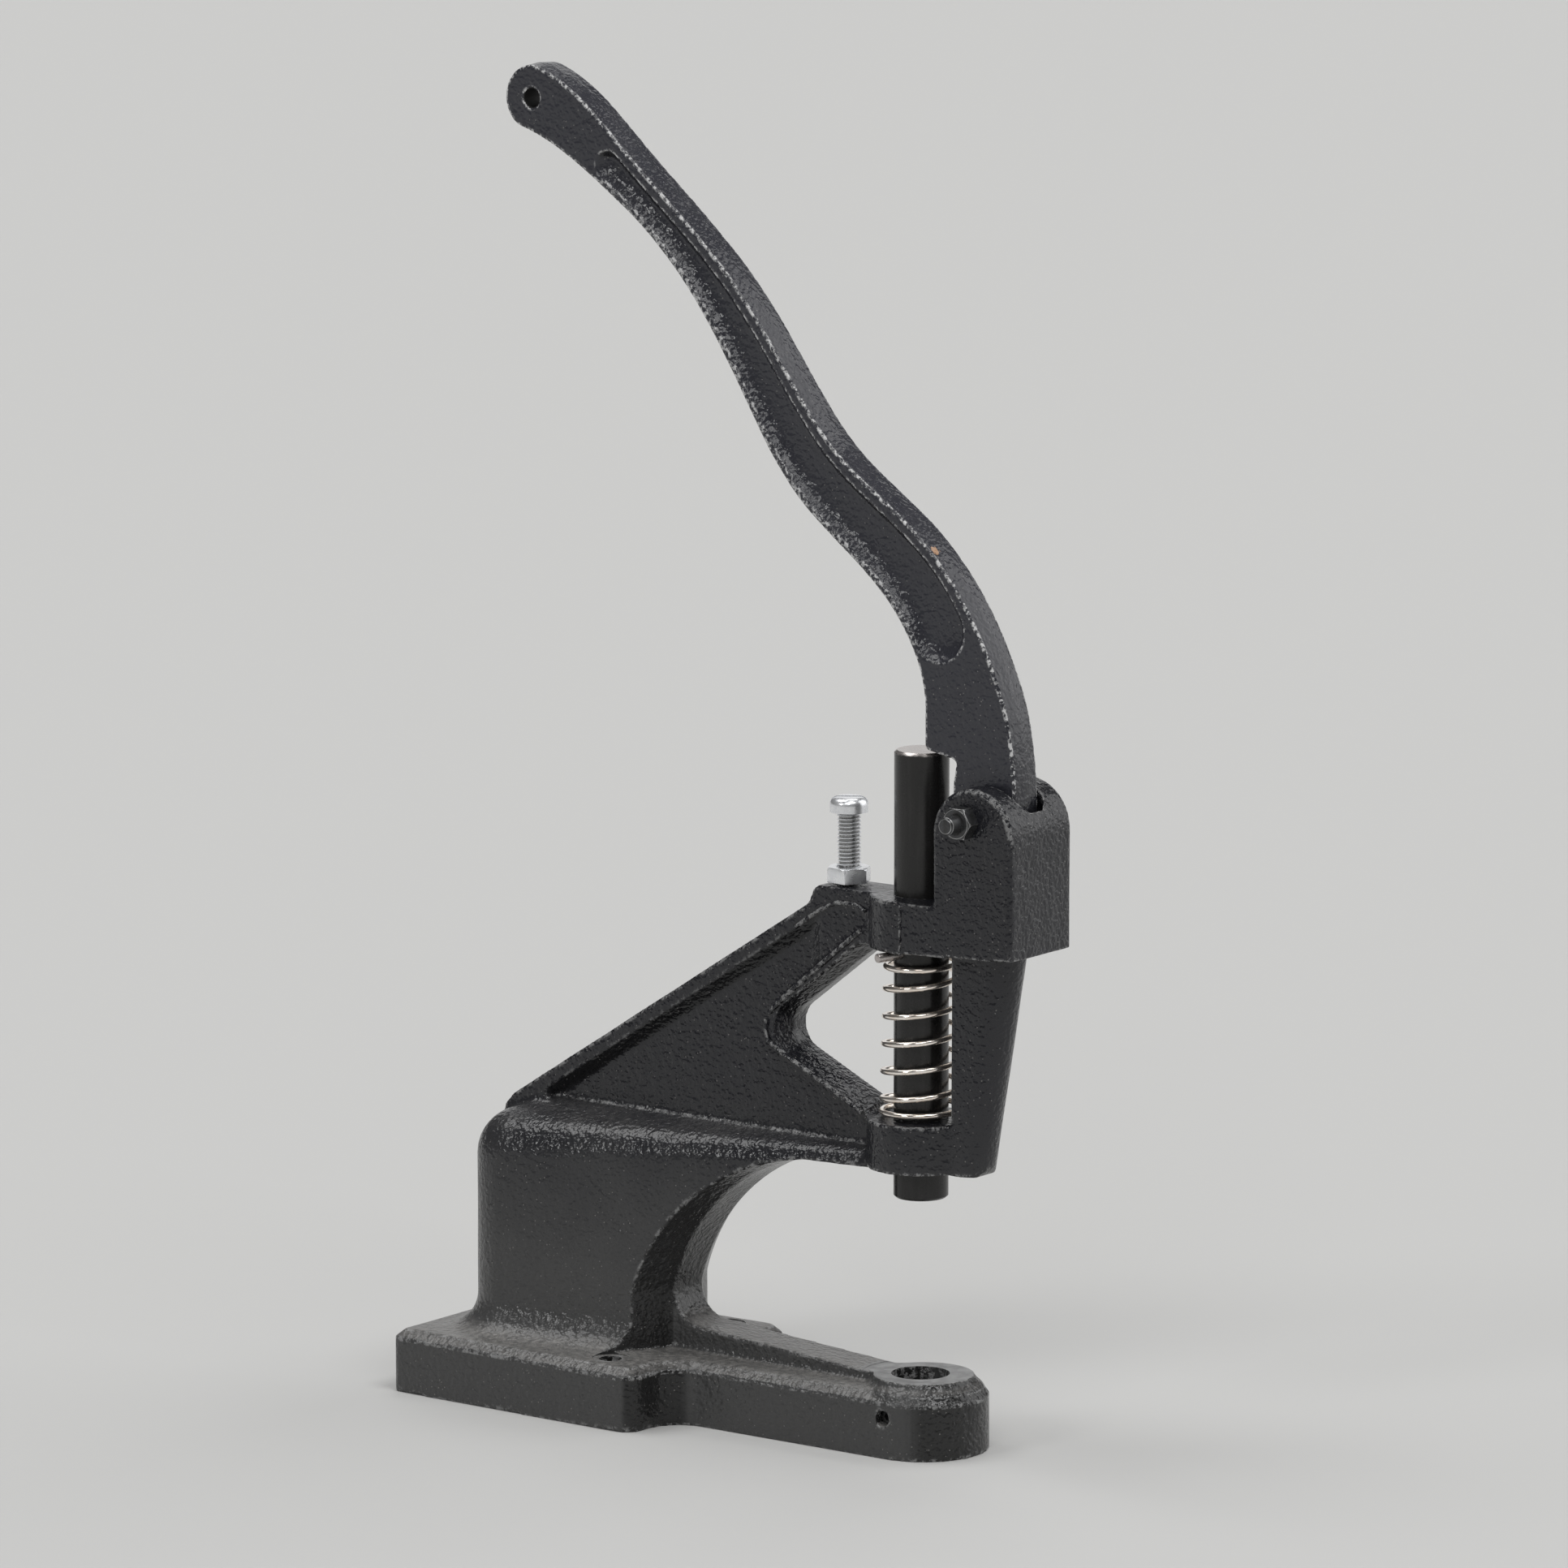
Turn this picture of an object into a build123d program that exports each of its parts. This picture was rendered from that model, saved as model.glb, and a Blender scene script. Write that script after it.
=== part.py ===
from build123d import *
import os
from math import cos, hypot, pi, radians, sin, sqrt, tan

# A hand press that sets eyelets: one iron casting carries a sprung plunger, and a long cast
# lever pushes the plunger down onto a die that stands in the base.
# X runs along the press, towards the front, Y across it, and Z up. The origin is on the
# plunger's axis, at the underside of the base. All sizes are in millimetres.

# ---------------------------------------------------------------- driving dimensions
# base
base_rear = -189.0            # rear face of the base
ear_front = -86.0             # front face of the two bench ears
ear_half_front = 44.3         # half the width of the base at the ears' front
ear_half_rear = 42.2          # half the width of the base at its rear
ear_corner = 7.0
rear_corner = 4.0
arm_fillet = 12.0             # inside corner between ears and arm
deck_height = 21.5
deck_bevel_down = 3.6         # bevel round the top of the base, measured down and in
deck_bevel_in = 2.8
boss_forward = 1.3            # centre of the round front end, ahead of the plunger's axis
boss_radius = 21.6
boss_waist_radius = 19.6      # where the cast slope of the boss starts
boss_top_radius = 17.0
face_radius = 16.7            # machined ring round the die bore
face_height = 24.8
face_step = 1.0               # the ring stands this far above the cast slope
die_bore_radius = 9.63
bench_hole_x = -103.7
bench_hole_y = 32.0
bench_hole_radius = 3.8
spot_face_radius = 6.2
spot_face_depth = 0.4
set_screw_height = 13.5
set_screw_hole_radius = 2.5

# pedestal and lower arm, a wedge that narrows towards the plunger
pedestal_rear = -171.8
pedestal_half_width = 27.3    # half width near the rear, and on the plunger's axis
arm_half_width = 8.3
pedestal_corner = 16.2
shoulder_height = 101.4       # ridge of the sloping top
shoulder_slope = 19.0         # fall of the top to each side, degrees
shoulder_round = 16.0         # between top and side, near the rear, and on the plunger's axis
arm_round = 5.0
foot_flare = 12.0             # inside round between pedestal and deck
throat_top = 93.2             # underside of the arm
throat_top_start = -36.0      # where the underside starts to curve down
throat_rear = -96.0           # rearmost point of the throat
throat_rear_height = 42.0
throat_knee = (-74.4, 76.2)   # a point on the curve between them
throat_floor_height = 30.0    # top of the rib where it leaves the throat
throat_floor_start = -86.0
rib_root = -116.0             # the rib is buried in the pedestal from here
throat_flare = 0.57           # the walls beside the rib run back by this much for each mm outwards

# web, with its inclined flange, panel and window
web_half = 8.0                # half the thickness of the rib and flange
flange_low = [(-168.6, 90.0), (-166.6, 96.0), (-163.0, 99.7)]  # inclined top edge, from its low end
land_height = 184.7           # the flat land under the stop screw; the head stands on it
flange_high = (-40.3, land_height - 6.5)      # to its upper end
land_rear = [(-38.2, land_height - 1.7), (-36.2, land_height)]  # rounded rear end of the land
panel_depth = 4.0             # how far the panel lies below the flange, on each side
panel_slope = 46.0            # slope of its wall under the flange, degrees
panel_steep = 12.0            # slope of its wall along the window's rim, degrees
panel_floor = [               # corners of its floor, from the low end of the flange
    (-149.0, 98.3), (-41.5, 167.2), (-41.0, 155.5), (-55.6, 142.4), (-58.9, 136.5),
    (-58.4, 131.0), (-50.2, 125.0), (-16.0, 108.8), (-16.0, 96.0), (-149.0, 96.0)]
gusset_depth = 1.0            # the shallow field between panel and head
gusset_run = 5.5              # length of the slope from the panel up to it
gusset = [                    # its corners; heights are below the land
    (-45.0, 14.5), (-38.6, 10.5), (-32.0, 6.5), (-28.1, 5.1), (-21.5, 5.0), (-16.5, 6.6),
    (-16.5, 10.8), (-45.0, 33.5)]
window_nose = (-51.7, 134.8)  # rear tip of the window at mid thickness
window_nose_radius = 8.0
window_up = 37.9              # slope of the window's upper wall, degrees
window_down = 25.2            # slope of the window's lower wall, degrees
window_draft_near = 19.0      # its walls open outwards from mid thickness, degrees
window_draft_far = 5.0

# head
collar_radius = 17.1          # upper collar and half width of the head block
head_bottom = land_height - 17.5
head_bottom_front = land_height - 15.1
head_front = 47.9
head_edge = 1.2
cheek_rear = 16.2
head_clear = 20.0             # the cutter for the throat runs this far past the head
pivot = (29.4, land_height + 29.3)
arch_height = pivot[1] + 11.0
slot_half = 7.2
slot_front = 45.4
slot_corner = 5.0
slot_floor = pivot[1] - 14.6

# column rib and lower collar
lower_radius = 18.0
lower_bottom = 94.2
lower_top = 110.7
rib_rear = 17.6
rib_front_top = 40.4
rib_front_foot = 28.6
rib_foot_height = 97.0
rib_toe = 2.5                 # the rib's lower front corner is cut back by this
rib_overlap = 8.0             # the rib runs this far into the head

# plunger, its cross pin and its spring
plunger_radius = 9.0
plunger_bottom = 84.1
plunger_top = pivot[1] + 18.3
plunger_chamfer = 0.7
die_thread_radius = 4.0
die_thread_depth = 18.0
bore_gap = 0.06               # running clearance of the plunger in its collars
head_bore_gap = 2.0           # and its room between the cheeks
pin_radius = 1.5
pin_length = 37.0
pin_chamfer = 0.3
pin_turn = 8.0                # the pin's turn about the plunger's axis, degrees
pin_gap = 0.02
wire_radius = 1.0
coil_radius_low = 13.0        # to the centre of the wire
coil_radius_high = 11.4
coil_room = 1.0               # round the spring, between the collars
closed_pitch = 2.5            # rise of the closed turn at each end
active_turns = 5
rest_gap = 0.3                # between pieces that only touch when loaded
quarters = 4                  # stretches of wire drawn for each turn
samples_per_turn = 60         # for measuring the least gap
wire_sides = 6                # the wire is drawn with this many sides

# lever; its places are measured from the pivot
lever_half = 6.5              # half the thickness
lever_draft = 4.0             # both sides slope in from the mould's parting line, degrees
eye_radius = 13.0
lever_bore_gap = 0.1
end_centre = (-184.4, 220.4)
end_radius = 11.4
end_hole_radius = 3.1
end_join_front = 26.0         # where the handle's edges run into the round end: degrees from
end_join_back = 30.0          # straight up and from straight down
handle_stations = [           # centre of the handle and its width there
    (-171.3, 214.4, 21.0),
    (-152.4, 200.9, 16.9),
    (-130.4, 183.3, 15.0),
    (-107.4, 160.0, 17.9),
    (-88.4, 133.4, 20.8),
    (-67.1, 105.5, 23.4),
    (-37.0, 82.2, 25.4),
    (-17.9, 59.6, 27.6),
]
toe_rear = [(-25.0, 40.5), (-24.2, 33.9)]  # the handle's rear edge runs on down these to the toe
toe_slope = 10.5              # underside of the toe, degrees
toe_round = 2.0
neck_round = 1.5              # notch between toe and neck
neck_depth = 9.0              # the notch ends this far above the pivot
neck_front = [(4.0, 47.7), (8.8, 35.0), (11.8, 20.0)]  # and its front edge down these
pocket_depth = 3.2
pocket_draft = 32.0           # slope of the pocket's walls, degrees
pocket_front_rim = 6.4        # from the handle's edge to the pocket's floor
pocket_back_rim = 4.8

# fasteners
m6_radius = 3.0
m6_flats = 10.0
m6_nut_height = 5.0
m6_head_height = 4.0
bolt_end_past_nut = 5.6
m8_radius = 4.0
m8_flats = 13.0
m8_nut_height = 5.0
stop_x = -29.4
stop_head_top = land_height + 29.0
stop_head_height = 5.0
stop_head_radius = 6.3
stop_head_dome = 1.2          # the head's edge falls by this over twice the distance
stop_length = 32.0            # under the head
stop_travel = 6.0             # it can be screwed down this far from where it stands
lock_nut_lift = 0.8           # the lock nut stands this far off the land
lock_nut_turn = -4.0          # as the nut and the slot happen to stand, degrees
stop_slot_turn = 35.0
stop_slot_width = 1.6
stop_slot_depth = 2.0
set_screw_length = 8.0
key_flats = 2.5               # hexagon socket
key_depth = 2.2
set_screw_setback = 0.6       # its tip stands back from the die bore
thread_gap = 0.05             # plain shanks in plain holes stand for threads
hex_chamfer = 0.7
shank_chamfer = 0.6
parallel = 1e-9
nearby = 0.01                 # for picking out an edge or corner by its place
past = 1.0                    # cutters run this far past what they cut
rising = (Align.CENTER, Align.CENTER, Align.MIN)


# ---------------------------------------------------------------- helpers
def side_face(*edges):
    """A face in the plane of X and Z, closed by the given edges."""
    return make_face([Plane.XZ * edge for line in edges for edge in line.edges()])


def side_outline(points):
    """The same, from corner points."""
    return side_face(Polyline(*points, close=True))


def grown(points, amounts):
    """Clockwise corners with every side moved outwards; side i runs from corner i to the next."""
    moved = []
    for i, corner in enumerate(points):
        before, after = points[i - 1], points[(i + 1) % len(points)]
        first = Vector(before[1] - corner[1], corner[0] - before[0]).normalized()
        second = Vector(corner[1] - after[1], after[0] - corner[0]).normalized()
        a, b = amounts[i - 1], amounts[i]
        turn = first.X * second.Y - first.Y * second.X
        if abs(turn) < parallel:
            moved.append((corner[0] + first.X * a, corner[1] + first.Y * a))
        else:
            moved.append((corner[0] + (a * second.Y - b * first.Y) / turn,
                          corner[1] + (b * first.X - a * second.X) / turn))
    return moved


def slab(face, half):
    """A solid of that side face, half its thickness each side of the middle."""
    return extrude(face, amount=half, dir=(0, -1, 0), both=True)


def upright(radius, low, high, x=0.0, y=0.0):
    """A vertical cylinder between two heights."""
    return Pos(x, y, low) * Cylinder(radius, high - low, align=rising)


def across(radius, x, z, y_low, y_high):
    """A cylinder along Y between two places."""
    plane = Plane(origin=(x, y_low, z), x_dir=(1, 0, 0), z_dir=(0, 1, 0))
    return plane * Cylinder(radius, y_high - y_low, align=rising)


def hex_prism(flats, height, bore=0.0):
    """A hexagon nut or head along Z from 0, its corners chamfered at the outer end."""
    corner = flats / sqrt(3)
    crown = Cylinder(corner - hex_chamfer / 2, height, align=rising)
    crown = chamfer(crown.edges().sort_by(Axis.Z)[-1], hex_chamfer / 2, hex_chamfer)
    below = Cylinder(corner + past, height - hex_chamfer, align=rising)
    body = extrude(RegularPolygon(corner, 6), amount=height) & (crown + below)
    if bore:
        body -= Cylinder(bore, 3 * height)
    return body


def ends(body, axis):
    """The circular edges of a turned piece, in order along that axis."""
    return body.edges().filter_by(GeomType.CIRCLE).sort_by(axis)


# ---------------------------------------------------------------- press frame, one iron casting
def base_block():
    ears = make_face(Polyline(
        (base_rear, -ear_half_rear), (ear_front, -ear_half_front),
        (ear_front, ear_half_front), (base_rear, ear_half_rear), close=True))
    ears = fillet(ears.vertices().group_by(Axis.X)[-1], ear_corner)
    ears = fillet(ears.vertices().group_by(Axis.X)[0], rear_corner)
    arm_length = boss_forward - ear_front
    arm = Pos(ear_front + arm_length / 2, 0) * Rectangle(arm_length, 2 * boss_radius)
    plan = ears + arm + Pos(boss_forward, 0) * Circle(boss_radius)
    inner = [v for v in plan.vertices()
             if abs(v.X - ear_front) < nearby and abs(abs(v.Y) - boss_radius) < nearby]
    plan = fillet(inner, arm_fillet)
    block = extrude(plan, amount=deck_height)
    deck = block.faces().sort_by(Axis.Z)[-1]
    return chamfer(deck.outer_wire().edges(), deck_bevel_down, deck_bevel_in, reference=deck)


def boss():
    """The round front end rises to the machined face round the die bore."""
    slope_low = deck_height - deck_bevel_down
    profile = side_outline([
        (0, 0), (boss_radius, 0), (boss_radius, slope_low), (boss_waist_radius, deck_height),
        (boss_top_radius, face_height - face_step), (face_radius, face_height), (0, face_height)])
    return Pos(boss_forward, 0, 0) * revolve(profile, Axis.Z)


def throat_face(setback, floor_height):
    """The open throat, seen from the side; the setback moves its rear wall back."""
    start = (throat_top_start - setback, throat_top)
    knee = (throat_knee[0] - setback, throat_knee[1])
    low = (throat_rear - setback, throat_rear_height)
    front = head_front + head_clear
    upper = ThreePointArc(start, knee, low)
    if not floor_height:
        return side_face(upper, Polyline(low, (low[0], 0), (front, 0), (front, throat_top), start))
    floor = (throat_floor_start, floor_height)
    lower = TangentArc(low, floor, tangent=(0, -1))
    ring = (boss_forward - face_radius, face_height)
    return side_face(upper, lower, Polyline(floor, ring, (front, face_height), (front, throat_top), start))


def shoulder_profile(half, rounding, ridge):
    """From the deck up: flared foot, upright side, rounded shoulder and sloping top."""
    fall = radians(shoulder_slope)
    turn = half - rounding * (1 - sin(fall))
    turn_z = ridge - turn * tan(fall)
    side_z = turn_z - rounding * cos(fall)
    lean = (pi / 2 - fall) / 2
    mid = (half - rounding * (1 - cos(lean)), side_z + rounding * sin(lean))
    flare_top = deck_height + foot_flare
    flare_mid = (half + foot_flare * (1 - sqrt(0.5)), flare_top - foot_flare * sqrt(0.5))
    return (Line((half + foot_flare, 0), (half + foot_flare, deck_height))
            + ThreePointArc((half + foot_flare, deck_height), flare_mid, (half, flare_top))
            + Line((half, flare_top), (half, side_z))
            + ThreePointArc((half, side_z), mid, (turn, turn_z))
            + Line((turn, turn_z), (0, ridge)))


def shoulder_section(x, half, rounding):
    """A cross section of pedestal and arm."""
    right = shoulder_profile(half, rounding, shoulder_height)
    base = Line((-half - foot_flare, 0), (half + foot_flare, 0))
    section = make_face((right + right.mirror(Plane.YZ) + base).edges())
    return Plane(origin=(x, 0, 0), x_dir=(0, 1, 0), z_dir=(1, 0, 0)) * section


def foot():
    """Pedestal and lower arm: wide at the rear, narrow at the plunger."""
    corner_x = pedestal_rear + pedestal_corner
    corner_y = pedestal_half_width - pedestal_corner
    narrowing = (pedestal_half_width - arm_half_width) / -corner_x
    rear_end = pedestal_rear - foot_flare
    widest = pedestal_half_width + narrowing * (corner_x - rear_end)
    body = loft([shoulder_section(rear_end, widest, shoulder_round),
                 shoulder_section(0, arm_half_width, arm_round)], ruled=True)

    # the rear wall has the profile of the sides, and the two corners carry it round
    hip = shoulder_height - corner_y * tan(radians(shoulder_slope))
    profile = shoulder_profile(pedestal_corner, shoulder_round, hip)
    wall = Pos(corner_x, 0) * profile.mirror(Plane.YZ)
    rest = Polyline((corner_x, hip), (corner_x + corner_y, shoulder_height), (0, shoulder_height),
                    (0, 0), (rear_end, 0))
    body &= slab(side_face(wall, rest), widest + foot_flare)
    inner = Polyline((0, hip), (0, 0), (pedestal_corner + foot_flare, 0))
    turned = revolve(side_face(profile, inner), Axis.Z)
    for side in (-1, 1):
        quarter = Pos(corner_x, side * corner_y) * Box(
            3 * pedestal_corner, 3 * pedestal_corner, 3 * shoulder_height,
            align=(Align.MAX, Align.MAX if side < 0 else Align.MIN, Align.CENTER))
        body = body - quarter + (Pos(corner_x, side * corner_y) * turned & quarter)

    throat = throat_face(0, 0)
    setback = (ear_half_front - web_half) * throat_flare
    near = loft([Pos(0, -web_half, 0) * throat,
                 Pos(0, -ear_half_front, 0) * throat_face(setback, 0)], ruled=True)
    return body - slab(throat, web_half) - near - near.mirror(Plane.XZ)


def window_face(growth=0.0):
    """The triangular window with its rounded nose, opening on the plunger's gap."""
    centre = (window_nose[0] + window_nose_radius, window_nose[1])
    up, down = radians(window_up), radians(window_down)
    r = window_nose_radius + growth
    high = (centre[0] - r * sin(up), centre[1] + r * cos(up))
    low = (centre[0] - r * sin(down), centre[1] - r * cos(down))
    right = past - lower_radius
    high_end = (high[0] + (head_bottom - high[1]) / tan(up), head_bottom)
    low_end = (right, low[1] - (right - low[0]) * tan(down))
    nose = ThreePointArc(high, (centre[0] - r, centre[1]), low)
    return side_face(nose, Polyline(low, low_end, (right, lower_top), (rib_rear, lower_top),
                                    (rib_rear, head_bottom), high_end, high))


def web():
    """Rib, inclined flange and land as one slab, with a panel sunk in both sides."""
    shoulder_side = shoulder_height - shoulder_round
    outline = side_outline([
        *flange_low, flange_high, *land_rear, (0, land_height), (0, 0), (rib_root, 0),
        (rib_root, shoulder_side), (flange_low[0][0], shoulder_side)])
    body = slab(outline - throat_face(0, throat_floor_height), web_half)
    depth = panel_depth + past
    under_flange = depth * tan(radians(panel_slope))
    at_gusset = depth * gusset_run / (panel_depth - gusset_depth)
    along_rim = depth * tan(radians(panel_steep))
    growth = [under_flange, at_gusset] + [along_rim] * 5 + [0, 0, 0]
    recess = loft([Pos(0, panel_depth - web_half, 0) * side_outline(panel_floor),
                   Pos(0, -web_half - past, 0) * side_outline(grown(panel_floor, growth))], ruled=True)
    field = side_outline([(x, land_height - below) for x, below in gusset])
    field = Pos(0, gusset_depth - web_half, 0) * extrude(field, amount=2 * gusset_depth, dir=(0, -1, 0))
    for cut in (recess, field):
        body -= cut
        body -= cut.mirror(Plane.XZ)
    return body


def head():
    """Upper collar, head block and the two cheeks that hold the lever."""
    arch_radius = (head_front - cheek_rear) / 2
    arch_x = (head_front + cheek_rear) / 2
    arch_z = arch_height - arch_radius
    rear = -collar_radius
    side = side_face(
        Polyline((cheek_rear, arch_z), (cheek_rear, land_height), (rear, land_height),
                 (rear, head_bottom), (0, head_bottom), (head_front, head_bottom_front),
                 (head_front, arch_z)),
        ThreePointArc((head_front, arch_z), (arch_x, arch_height), (cheek_rear, arch_z)))
    plan = Circle(collar_radius) + Pos(head_front / 2, 0) * Rectangle(head_front, 2 * collar_radius)
    body = slab(side, collar_radius) & extrude(plan, amount=arch_height + past)
    corners = body.edges().filter_by(Axis.Z).group_by(Axis.X)[-1]
    body = chamfer(corners, head_edge)
    slot_length = slot_front + collar_radius
    slot = Pos(slot_front - slot_length / 2, 0) * Rectangle(slot_length, 2 * slot_half)
    slot = fillet(slot.vertices().group_by(Axis.X)[-1], slot_corner)
    body -= Pos(0, 0, slot_floor) * extrude(slot, amount=arch_height)
    return body


def column():
    """Lower collar and the round-fronted rib that ties it to the head."""
    top = head_bottom + rib_overlap
    slope = (rib_front_top - rib_front_foot) / (head_bottom - rib_foot_height)
    front_low = rib_front_foot - slope * (rib_foot_height - lower_bottom)
    front_high = rib_front_top + slope * (top - head_bottom)
    rib = slab(side_outline([
        (0, lower_bottom), (front_low - web_half, lower_bottom), (front_high - web_half, top),
        (rib_rear, top), (rib_rear, lower_top), (0, lower_top)]), web_half)
    axis = Plane(origin=(front_low - web_half, 0, lower_bottom), x_dir=(0, 1, 0), z_dir=(slope, 0, 1))
    nose = axis * Cylinder(web_half, 2 * (top - lower_bottom))
    rib += nose & slab(side_outline([
        (0, lower_bottom), (rib_front_foot - rib_toe, lower_bottom), (rib_front_foot, rib_foot_height),
        (front_high + web_half, top), (rib_rear, top), (rib_rear, lower_top), (0, lower_top)]), web_half)
    return rib + upright(lower_radius, lower_bottom, lower_top)


def press_frame():
    body = base_block() + foot()
    body += boss() + web() + head() + column()
    body -= slab(window_face(), lower_radius + past)
    reach = web_half + past
    for side, draft_angle in ((-1, window_draft_near), (1, window_draft_far)):
        mouth = Pos(0, side * reach, 0) * window_face(reach * tan(radians(draft_angle)))
        body -= loft([window_face(), mouth], ruled=True)
    body -= upright(plunger_radius + bore_gap, lower_bottom - past, land_height + past)
    body -= upright(coil_radius_low + wire_radius + coil_room, lower_top, head_bottom)
    body -= upright(plunger_radius + head_bore_gap, land_height, arch_height + past)
    body -= upright(die_bore_radius, -past, face_height + past)
    over_deck = deck_height + foot_flare + past
    for y in (-bench_hole_y, bench_hole_y):
        body -= upright(bench_hole_radius, -past, over_deck, bench_hole_x, y)
        body -= upright(spot_face_radius, deck_height - spot_face_depth, over_deck, bench_hole_x, y)
    outside = collar_radius + past
    body -= across(m6_radius + thread_gap, pivot[0], pivot[1], -outside, outside)
    stop_low = stop_head_top - stop_head_height - stop_length - stop_travel - past
    body -= upright(m8_radius + thread_gap, stop_low, land_height + past, stop_x)
    return body - across(set_screw_hole_radius, 0, set_screw_height, -boss_radius - past, 0)


# ---------------------------------------------------------------- lever, the second iron casting
def handle_edge(side, inset, first, last):
    """Points along one edge of the handle, or a way in from it."""
    points = []
    for i in range(first, last + 1):
        before = handle_stations[max(i - 1, 0)]
        after = handle_stations[min(i + 1, len(handle_stations) - 1)]
        run_x, run_z = after[0] - before[0], after[1] - before[1]
        length = hypot(run_x, run_z)
        x, z, width = handle_stations[i]
        reach = side * (width / 2 - inset)
        points.append((x - reach * run_z / length, z + reach * run_x / length))
    return points


def lever_face(inset):
    """The lever's outline with round ends, toe and neck; every side stands in by the inset."""
    last = len(handle_stations) - 1
    a, b = radians(end_join_front), radians(end_join_back)
    radius = end_radius - inset
    start = (end_centre[0] + radius * sin(a), end_centre[1] + radius * cos(a))
    finish = (end_centre[0] - radius * sin(b), end_centre[1] - radius * cos(b))
    eye = eye_radius - inset
    front_line = Spline(start, *handle_edge(1, inset, 0, last),
                        *[(x - inset, z) for x, z in neck_front], (eye, 0))
    back_line = Spline(finish, *handle_edge(-1, inset, 0, last),
                       *[(x + inset, z) for x, z in toe_rear])

    # the toe's underside slopes, and stands just clear of the rod at the rod's front edge
    contact = (plunger_radius - pivot[0], plunger_top + rest_gap + inset - pivot[1])
    back, neck_top = toe_rear[-1][0] + inset, neck_round - eye
    fall = tan(radians(toe_slope))
    corners = [(x, contact[1] + (contact[0] - x) * fall) for x in (back, neck_top)]
    body = side_face(
        front_line, back_line,
        Polyline((back, toe_rear[-1][1]), *corners, (-eye, neck_depth), (-eye, 0)),
        ThreePointArc((-eye, 0), (0, -eye), (eye, 0)),
        ThreePointArc(finish, (end_centre[0] - radius, end_centre[1]), start))
    for (x, z), rounding in zip(corners, (toe_round, neck_round)):
        picked = [v for v in body.vertices() if hypot(v.X - x, v.Z - z) < nearby]
        body = fillet(picked, rounding)
    return body


def drafted(outline):
    """A solid of that outline, its walls sloping in from the mould's parting line."""
    inset = lever_half * tan(radians(lever_draft))
    near, far = (loft([outline(0), Pos(0, side * lever_half, 0) * outline(inset)], ruled=True)
                 for side in (-1, 1))
    return near + far


def pocket_outline(growth=0.0):
    """The long recess in each side of the handle."""
    last = len(handle_stations) - 1
    front = handle_edge(1, pocket_front_rim - growth, 1, last)
    back = handle_edge(-1, pocket_back_rim - growth, 1, last)

    def cap(a, b, sign):
        half = sign / 2
        out = ((b[1] - a[1]) * half, (a[0] - b[0]) * half)
        return ThreePointArc(a, ((a[0] + b[0]) / 2 + out[0], (a[1] + b[1]) / 2 + out[1]), b)

    return side_face(Spline(*front), Spline(*back), cap(front[0], back[0], 1), cap(front[-1], back[-1], -1))


def hand_lever():
    body = drafted(lever_face)
    outside = lever_half + past
    floor = Pos(0, pocket_depth - lever_half, 0) * pocket_outline()
    spread = (pocket_depth + past) * tan(radians(pocket_draft))
    pocket = loft([floor, Pos(0, -outside, 0) * pocket_outline(spread)], ruled=True)
    body -= pocket
    body -= pocket.mirror(Plane.XZ)
    body -= across(m6_radius + lever_bore_gap, 0, 0, -outside, outside)
    body -= across(end_hole_radius, *end_centre, -outside, outside)
    return Pos(pivot[0], 0, pivot[1]) * body


# ---------------------------------------------------------------- plunger, cross pin and spring
pin_height = head_bottom - rest_gap - pin_radius


def plunger_rod():
    rod = upright(plunger_radius, plunger_bottom, plunger_top)
    rod = chamfer(ends(rod, Axis.Z), plunger_chamfer)
    rod -= upright(die_thread_radius, plunger_bottom - past, plunger_bottom + die_thread_depth)
    cross_hole = across(pin_radius + pin_gap, 0, pin_height, -pin_length, pin_length)
    return rod - Rot(0, 0, pin_turn) * cross_hole


def spring_pin():
    half = pin_length / 2
    pin = across(pin_radius, 0, pin_height, -half, half)
    return Rot(0, 0, pin_turn) * chamfer(ends(pin, Axis.Y), pin_chamfer)


def coil_point(turn, turns, low, high):
    """Centre of the wire after so many turns, and its direction."""
    active_pitch = (high - low - 2 * closed_pitch) / active_turns
    rise = closed_pitch * min(turn, 1) + active_pitch * min(max(turn - 1, 0), active_turns)
    rise += closed_pitch * max(turn - 1 - active_turns, 0)
    r = coil_radius_low + (coil_radius_high - coil_radius_low) * turn / turns
    angle = 2 * pi * turn
    return Vector(r * cos(angle), r * sin(angle), low + rise)


def report_spring(path, turns, radii):
    """Print how near the wire comes to itself, and how tightly it is bent."""
    count = turns * samples_per_turn
    points = [path @ (i / count) for i in range(count + 1)]
    apart = samples_per_turn // 2
    nearest = min((a - b).length for i, a in enumerate(points) for b in points[i + apart:])
    print(f"return_spring: least gap between its turns {nearest - 2 * wire_radius:.2f} mm, "
          f"arcs of radius {min(radii):.1f} to {max(radii):.1f} mm")


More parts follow.
